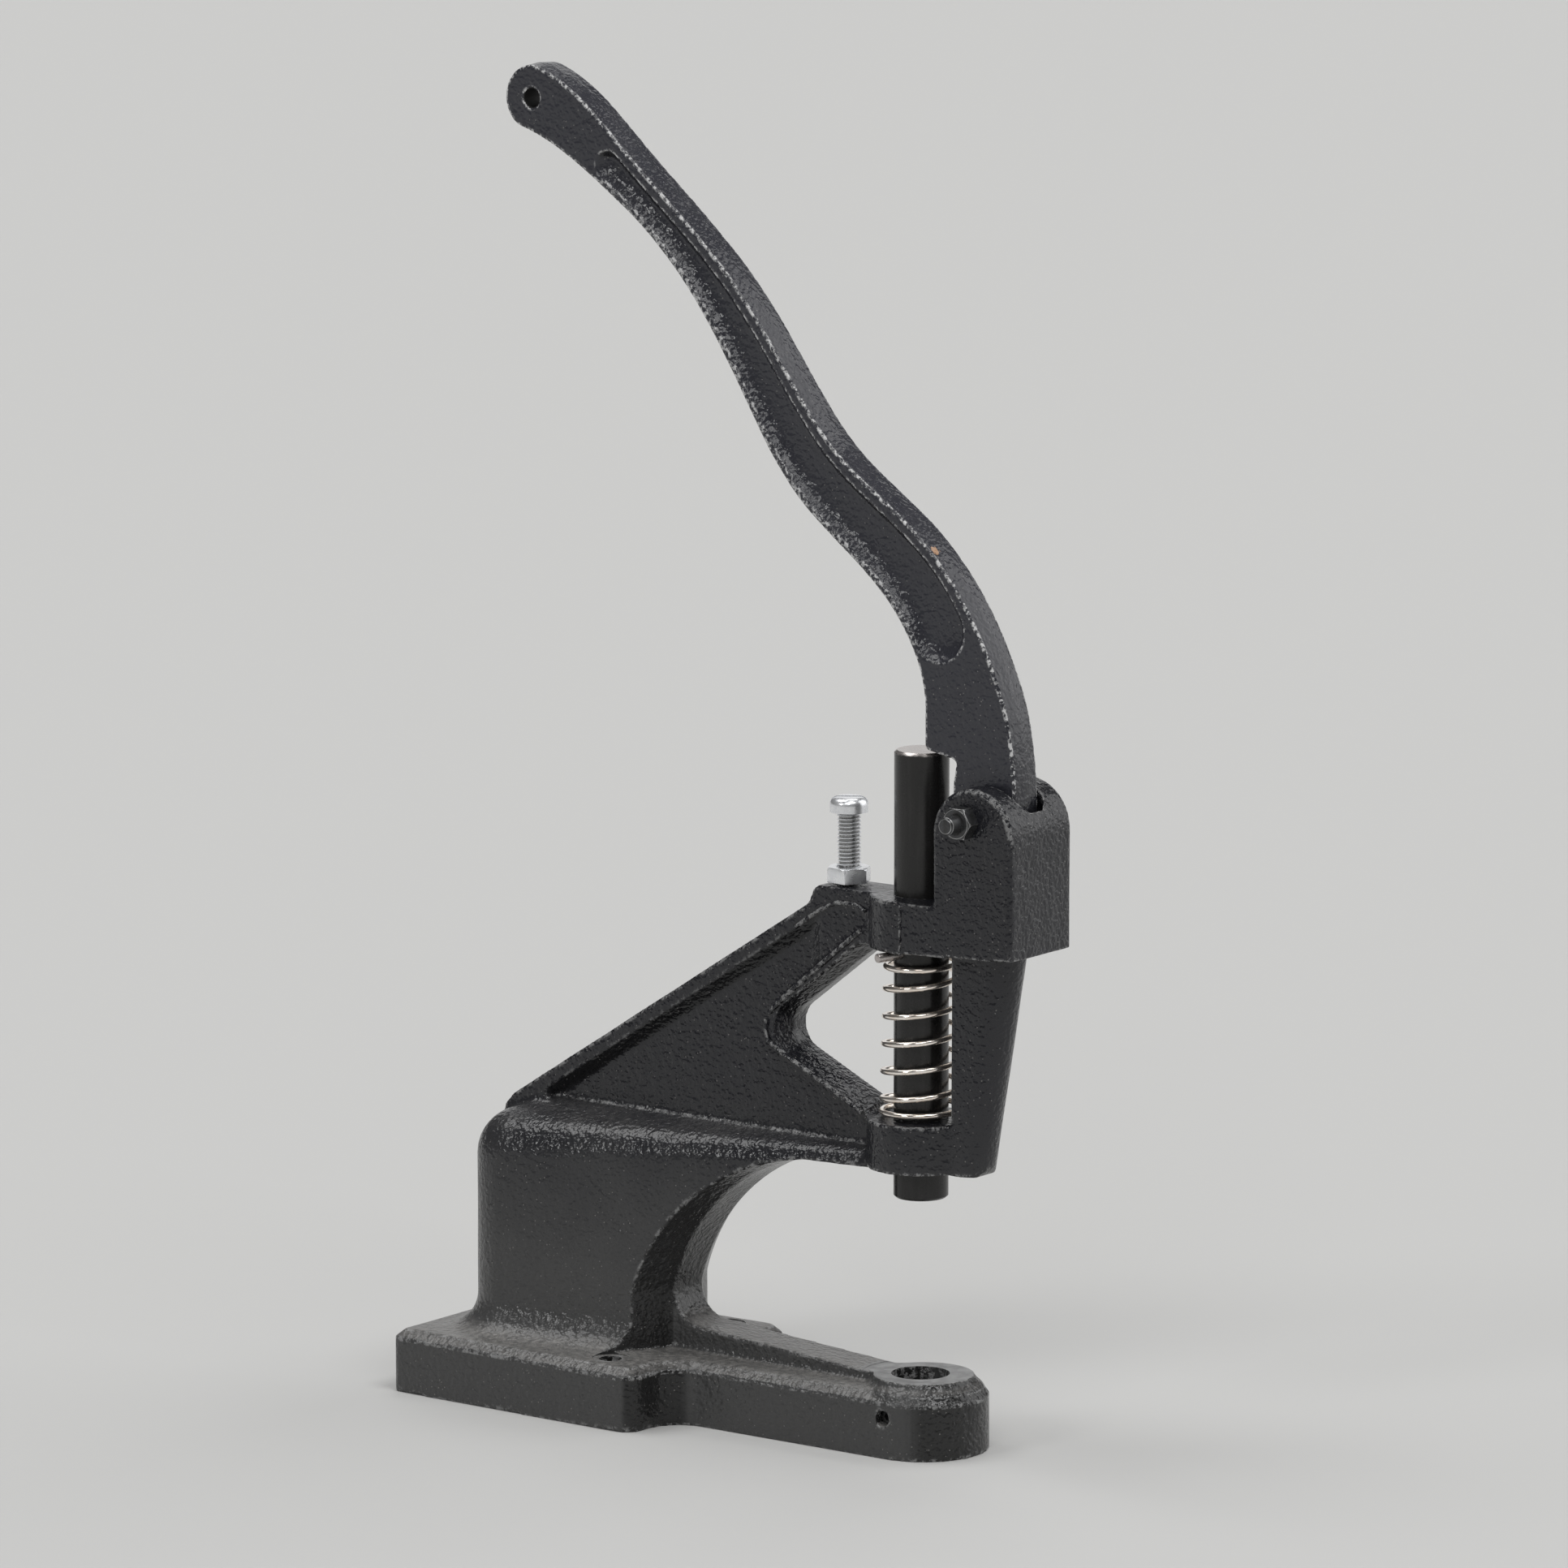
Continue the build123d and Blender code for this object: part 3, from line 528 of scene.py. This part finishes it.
# The lever's worn edges are lighter than the frame's; on the recess's smoothed rear wall that tone is a
# painted highlight.
lever_paint = cast_paint(
    "black_lever_paint", upper=lever_black, lower=lever_black,
    turn_low=100 * mm, turn_high=300 * mm, grain=0.75, wear_and_highlight_tone=0.70, chip=chip_middle)
# Painted shade: the string hole's wall is near black.
painted_hole_shade = Finish("string_hole_painted_shade").done(Base_Color=grey(0.004), Roughness=0.7)
lever = piece("hand_lever_casting", lever_shape, lever_paint, painted_hole_shade)
for face in lever.data.polygons:
    if (face.center.xz - Vector((hole_x, hole_z))).length < hole_radius + 0.3 * mm:
        face.material_index = 1
lever.data.shade_smooth()
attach(lever, "lever")
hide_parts("hand_lever")


# ---------------------------------------------------------------- plunger rod and cross pin
# A ground steel rod, chemically blackened; its top is worn bare where the lever's toe presses.
# A steel pin driven across it carries the spring.
def turned_steel(name, colour, worn_colour, bare_from, bare_to, roughness):
    """Round steel stock with faint streaks along it, bare above a height."""
    steel = Finish(name)
    ragged = (steel.clouds(1.5 * mm, 3.0) - 0.5) * (1.2 * mm)
    bare_share = (steel.axis("Z") + ragged).rise(bare_from, bare_to)
    streaks = steel.clouds(2.5 * mm, 3.0, 0.6, stretch=(1, 1, 0.08))
    tone = steel.blend(streaks.rise(0.42, 0.68, 0.4), colour, worn_colour)
    return steel.done(Base_Color=steel.blend(bare_share, tone, grey(0.46, 1.08, 0.96)),
                      Metallic=bare_share * 0.6 + 0.3,
                      Roughness=steel.clouds(3 * mm, 2.0).rise(0.3, 0.7, 0.05) + roughness)


rod_radius = 9.0 * mm
rod_low, rod_high = (corner.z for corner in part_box("plunger_rod"))
foot_chamfer, top_chamfer = 0.7 * mm, 0.9 * mm
die_hole_radius, die_hole_depth, drill_point = 4 * mm, 16 * mm, 2 * mm
rod_steel = turned_steel("blackened_steel", grey(0.018, 1.03, 0.97), grey(0.034, 1.03, 0.97),
                         rod_high - 1.2 * mm, rod_high - 0.2 * mm, 0.24)
outline = (
    (0, rod_low + die_hole_depth + drill_point), (die_hole_radius, rod_low + die_hole_depth),
    (die_hole_radius, rod_low), (rod_radius - foot_chamfer, rod_low),
    (rod_radius, rod_low + foot_chamfer), (rod_radius, rod_high - top_chamfer),
    (rod_radius - top_chamfer, rod_high), (0, rod_high))
rod = bmesh.new()
corners = [rod.verts.new((r, 0, z)) for r, z in outline]
profile = corners + [rod.edges.new(pair) for pair in zip(corners, corners[1:])]
bmesh.ops.spin(rod, geom=profile, cent=(0, 0, 0), axis=(0, 0, 1), angle=2 * pi, steps=128,
               use_merge=True)
bmesh.ops.remove_doubles(rod, verts=rod.verts, dist=touching)
bmesh.ops.recalc_face_normals(rod, faces=rod.faces)
plunger = piece("plunger_rod_turned", rod, rod_steel)
plunger.data.shade_smooth()
plunger.data.set_sharp_from_angle(angle=radians(30))
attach(plunger, "plunger")
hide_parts("plunger_rod")

pin_radius, pin_length, pin_turn = 1.5 * mm, 37 * mm, radians(-15)
pin_height = (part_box("spring_pin")[0].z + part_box("spring_pin")[1].z) / 2
below_everything = -1.0
pin_steel = turned_steel("pin_steel", grey(0.50, 1.04, 0.94), grey(0.36, 1.06, 0.92),
                         below_everything, below_everything + 0.1, 0.25)
pin = bmesh.new()
bmesh.ops.create_cone(
    pin, cap_ends=True, segments=32, radius1=pin_radius, radius2=pin_radius, depth=pin_length,
    matrix=Matrix.Translation((0, 0, pin_height)) @ Matrix.Rotation(pin_turn, 4, "Z") @ to_near_side)
rims = [e for e in pin.edges if e.calc_face_angle() > radians(60)]
bmesh.ops.bevel(pin, geom=rims, offset=0.3 * mm, segments=2, profile=0.5, affect="EDGES", material=-1)
cross_pin = piece("cross_pin", pin, pin_steel)
cross_pin.data.shade_smooth()
cross_pin.data.set_sharp_from_angle(angle=radians(30))
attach(cross_pin, "plunger")
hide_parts("spring_pin")


# ---------------------------------------------------------------- return spring
# Closed-end coil of 2 mm nickel-plated spring wire, slightly barrelled, between the lower collar
# and the cross pin.
wire_radius = 1.0 * mm
coil_low, coil_high = 13.0 * mm, 11.4 * mm
coil_foot, coil_head = 112.0 * mm, 162.6 * mm
coil_start = radians(126)
closed_pitch = 2.5 * mm
active_turns = 5
coil_turns = active_turns + 2
active_pitch = (coil_head - coil_foot - 2 * closed_pitch) / active_turns
steps_per_turn = 48
coil_steps = coil_turns * steps_per_turn

coil = bmesh.new()
bmesh.ops.create_circle(coil, segments=14, radius=wire_radius)
bmesh.ops.rotate(coil, verts=coil.verts, matrix=to_near_side.to_3x3())
bmesh.ops.translate(coil, verts=coil.verts, vec=(coil_low, 0, coil_foot))
bmesh.ops.rotate(coil, verts=coil.verts, matrix=Matrix.Rotation(coil_start, 3, "Z"))
ring = list(coil.edges)
for i in range(coil_steps):
    turn = i / steps_per_turn
    pitch = active_pitch if 1 <= turn < 1 + active_turns else closed_pitch
    grown = bmesh.ops.extrude_edge_only(coil, edges=ring)["geom"]
    moved = [g for g in grown if isinstance(g, bmesh.types.BMVert)]
    ring = [g for g in grown if isinstance(g, bmesh.types.BMEdge)]
    bmesh.ops.rotate(coil, verts=moved, cent=(0, 0, 0),
                     matrix=Matrix.Rotation(2 * pi / steps_per_turn, 3, "Z"))
    out = sum((v.co for v in moved), Vector()) / len(moved)
    inwards = Vector((out.x, out.y, 0)).normalized() * ((coil_high - coil_low) / coil_steps)
    bmesh.ops.translate(coil, verts=moved, vec=inwards + Vector((0, 0, pitch / steps_per_turn)))
bmesh.ops.holes_fill(coil, edges=[e for e in coil.edges if e.is_boundary], sides=0)
bmesh.ops.recalc_face_normals(coil, faces=coil.faces)

nickel = Finish("spring_wire")
nickel_wire = nickel.done(
    Base_Color=nickel.blend(nickel.clouds(4 * mm, 3.0).rise(0.4, 0.62), grey(0.92, 1.07, 0.93),
                            grey(0.80, 1.12, 0.88)),
    Metallic=0.95, Roughness=nickel.clouds(1.5 * mm, 3.0).rise(0.3, 0.7, 0.08) + 0.13,
    Normal=nickel.relief(nickel.clouds(0.8 * mm), 0.02 * mm))
spring = piece("return_spring_coil", coil, nickel_wire)
spring.data.shade_smooth()
spring.data.set_sharp_from_angle(angle=radians(50))
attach(spring, "frame")
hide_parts("return_spring")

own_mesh(spring)


# ---------------------------------------------------------------- screws and nuts
# The pivot is an M6 bolt with a blackened nut. The stop is a zinc-plated M8 screw with a slotted
# head and a lock nut; it sets how far down the lever goes. A socket screw clamps the lower die.
def thread(shape, major, pitch, low, high, x):
    """Adds a threaded shank with a true helix, closed at both ends."""
    root = major - 0.61 * pitch
    flanks = [(root, 0.0), (root, 0.12), (major, 0.44), (major, 0.56), (root, 0.88), (root, 1.0)]
    turns = int((high - low) / pitch) + 3
    start = low - 1.5 * pitch
    steps_per_turn = 40
    helix = bmesh.new()
    line = [helix.verts.new((x + r, 0, start + share * pitch)) for r, share in flanks]
    for first, second in zip(line, line[1:]):
        helix.edges.new((first, second))
    bmesh.ops.spin(helix, geom=list(helix.verts) + list(helix.edges), cent=(x, 0, 0),
                   axis=(0, 0, 1), dvec=(0, 0, pitch / steps_per_turn), angle=2 * pi * turns,
                   steps=steps_per_turn * turns, use_merge=False, use_duplicate=False)
    bmesh.ops.remove_doubles(helix, verts=helix.verts, dist=0.005 * mm)
    for place, facing in ((low, -1), (high, 1)):
        everything = list(helix.verts) + list(helix.edges) + list(helix.faces)
        bmesh.ops.bisect_plane(helix, geom=everything, plane_co=(0, 0, place),
                               plane_no=(0, 0, facing), clear_outer=True)
    bmesh.ops.holes_fill(helix, edges=[e for e in helix.edges if e.is_boundary], sides=0)
    bmesh.ops.recalc_face_normals(helix, faces=helix.faces)
    shank = bpy.data.meshes.new("thread")
    helix.to_mesh(shank)
    helix.free()
    shape.from_mesh(shank)
    bpy.data.meshes.remove(shank)


def plated(name, colour, dull, metallic, roughness, thread_x=None):
    """Plated or blackened steel; a thread round an axis at thread_x gets painted shade at its root."""
    plate = Finish(name)
    tone = plate.blend(plate.clouds(3 * mm, 2.0).rise(0.40, 0.64), colour, dull)
    if thread_x:
        # Painted shade: the thread is dark grey at its root and keeps the plate's tone at its crest.
        crest = plate.from_axis(thread_x).rise(3.3 * mm, 3.9 * mm)
        tone = plate.blend(crest, grey(0.36), tone)
    return plate.done(Base_Color=tone, Metallic=metallic,
                      Roughness=plate.clouds(2.5 * mm).rise(0.3, 0.7, 0.10) + roughness)


zinc_colours = grey(0.90, 0.985, 1.02), grey(0.84, 0.985, 1.03)
zinc = plated("zinc_plate", *zinc_colours, metallic=0.80, roughness=0.24)
zinc_thread_painted_root_shade = plated("zinc_thread_painted_root_shade", *zinc_colours, metallic=0.80, roughness=0.24, thread_x=stop_x)
oxide = plated("black_oxide", grey(0.07, 0.98, 1.04), grey(0.05), metallic=0.6, roughness=0.26)
rubbed = plated("rubbed_edges", grey(0.50), grey(0.30), metallic=0.9, roughness=0.28)

stop_radius, stop_pitch, stop_foot = 4.0 * mm, 1.25 * mm, 176.7 * mm
head_top, head_height, head_radius, crown_depth = 213.7 * mm, 5.0 * mm, 6.3 * mm, 2.6 * mm
slot_width, slot_depth, slot_turn = 1.6 * mm, 2 * mm, radians(35)
head = bmesh.new()
bmesh.ops.create_cone(head, cap_ends=True, segments=64, radius1=head_radius, radius2=head_radius,
                      depth=head_height, matrix=Matrix.Translation((0, 0, head_top - head_height / 2)))
crown = [e for e in head.edges if all(v.co.z > head_top - 0.01 * mm for v in e.verts)]
bmesh.ops.bevel(head, geom=crown, offset=crown_depth, offset_type="OFFSET", segments=8, profile=0.5,
                affect="EDGES", material=-1)
bmesh.ops.translate(head, verts=head.verts, vec=(stop_x, 0, 0))
blade = bmesh.new()
bmesh.ops.create_cube(blade, size=1.0, matrix=Matrix.Translation((stop_x, 0, head_top))
                      @ Matrix.Rotation(slot_turn, 4, "Z")
                      @ Matrix.Diagonal((20 * mm, slot_width, 2 * slot_depth, 1)))
slot_saw = piece("slot_saw", blade)


def slotted(modifiers):
    cut(modifiers, slot_saw)


screw = bmesh.new()
screw.from_mesh(evaluated(head, "stop_screw_head", slotted))
bpy.data.objects.remove(slot_saw)
head_faces = len(screw.faces)
thread(screw, stop_radius, stop_pitch, stop_foot, head_top - head_height, stop_x)
screw.faces.ensure_lookup_table()
for face in screw.faces[head_faces:]:
    face.material_index = 1
stop = piece("stop_screw_threaded", screw, zinc, zinc_thread_painted_root_shade)
stop.data.shade_smooth()
stop.data.set_sharp_from_angle(angle=radians(32))
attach(stop, "stop")
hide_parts("stop_screw")


def eased(node, name, body, softness, material, edge_material):
    """A CAD nut or bolt with its edges broken, as rolled and tumbled hardware has them."""
    shape = cad_copy(node)
    bmesh.ops.dissolve_limit(shape, angle_limit=radians(1), verts=shape.verts, edges=shape.edges)
    sharp = [e for e in shape.edges if len(e.link_faces) == 2 and e.calc_face_angle() > radians(20)]
    broken = bmesh.ops.bevel(shape, geom=sharp, offset=softness, segments=2, profile=0.5,
                             affect="EDGES", material=-1, clamp_overlap=True)
    for face in shape.faces:
        face.material_index = 0
    for face in broken["faces"]:
        face.material_index = 1
    made = piece(name, shape, material, edge_material)
    made.data.shade_smooth()
    made.data.set_sharp_from_angle(angle=radians(30))
    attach(made, body)
    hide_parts(node)


eased("stop_lock_nut", "lock_nut", "lock_nut", 0.25 * mm, zinc, zinc)
eased("pivot_nut", "pivot_hex_nut", "frame", 0.3 * mm, oxide, rubbed)
eased("pivot_bolt", "pivot_hex_bolt", "frame", 0.3 * mm, oxide, rubbed)
eased("die_set_screw", "die_grub_screw", "die_screw", 0.1 * mm, oxide, oxide)
